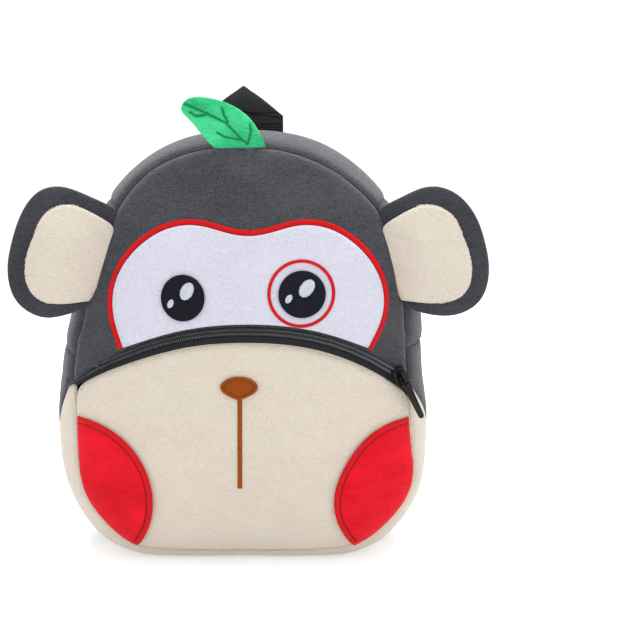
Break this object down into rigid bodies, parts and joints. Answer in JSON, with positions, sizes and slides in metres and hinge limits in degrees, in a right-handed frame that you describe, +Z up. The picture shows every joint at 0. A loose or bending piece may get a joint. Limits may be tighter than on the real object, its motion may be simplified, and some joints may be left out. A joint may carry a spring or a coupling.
{
  "type": "plush animal backpack",
  "caption": "Small child's plush monkey backpack with an arched front zip, stuffed ears, a leaf, a webbing grab loop and padded shoulder straps.",
  "frame": {"origin": "middle of the flat base, on the floor", "axes": "+Z up, the face looks along -Y, +X to the right of someone who looks at the face"},
  "size_m": [0.276, 0.128, 0.2845],
  "materials": {
    "plush_dark": "short pile plush",
    "plush_cream": "short pile plush",
    "plush_red": "short pile plush",
    "felt_white": "short pile plush",
    "thread_red": "satin stitch",
    "thread_black": "satin stitch",
    "thread_brown": "satin stitch",
    "plush_green": "short pile plush",
    "webbing_black": "woven",
    "plastic_black": "satin"
  },
  "bodies": {
    "bag": {"face_panel": "plush_dark", "back_panel": "plush_dark", "band_crown": "plush_dark", "band_side_left": "plush_dark", "band_side_right": "plush_dark", "band_base": "plush_dark", "ear_left": "plush_dark", "ear_right": "plush_dark", "muzzle_panel": "plush_cream", "band_cream": "plush_cream", "ear_lining_left": "plush_cream", "ear_lining_right": "plush_cream", "cheek_left": "plush_red", "cheek_right": "plush_red", "strap_pad_left": "plush_red", "strap_pad_right": "plush_red", "eye_mask": "felt_white", "mask_border": "thread_red", "eye_ring": "thread_red", "pupil_left": "thread_black", "pupil_right": "thread_black", "nose": "thread_brown", "mouth": "thread_brown", "leaf": "plush_green", "handle": "webbing_black", "strap_loop_left": "webbing_black", "strap_loop_right": "webbing_black", "strap_webbing_left": "webbing_black", "strap_webbing_right": "webbing_black", "zip_tape_upper": "webbing_black", "zip_tape_lower": "webbing_black", "buckle_left": "plastic_black", "buckle_right": "plastic_black", "zip_teeth": "plastic_black", "zip_slider": "plastic_black"},
    "zip_pull": {"zip_pull": "plastic_black"}
  },
  "joints": [
    {"name": "zip_pull_hinge", "type": "hinge", "parent": "bag", "child": "zip_pull", "pos_m": [0.09159, -0.04851, 0.11632], "axis": [-0.7537, -0.4529, -0.4763], "range_deg": [0, 170]}
  ]
}
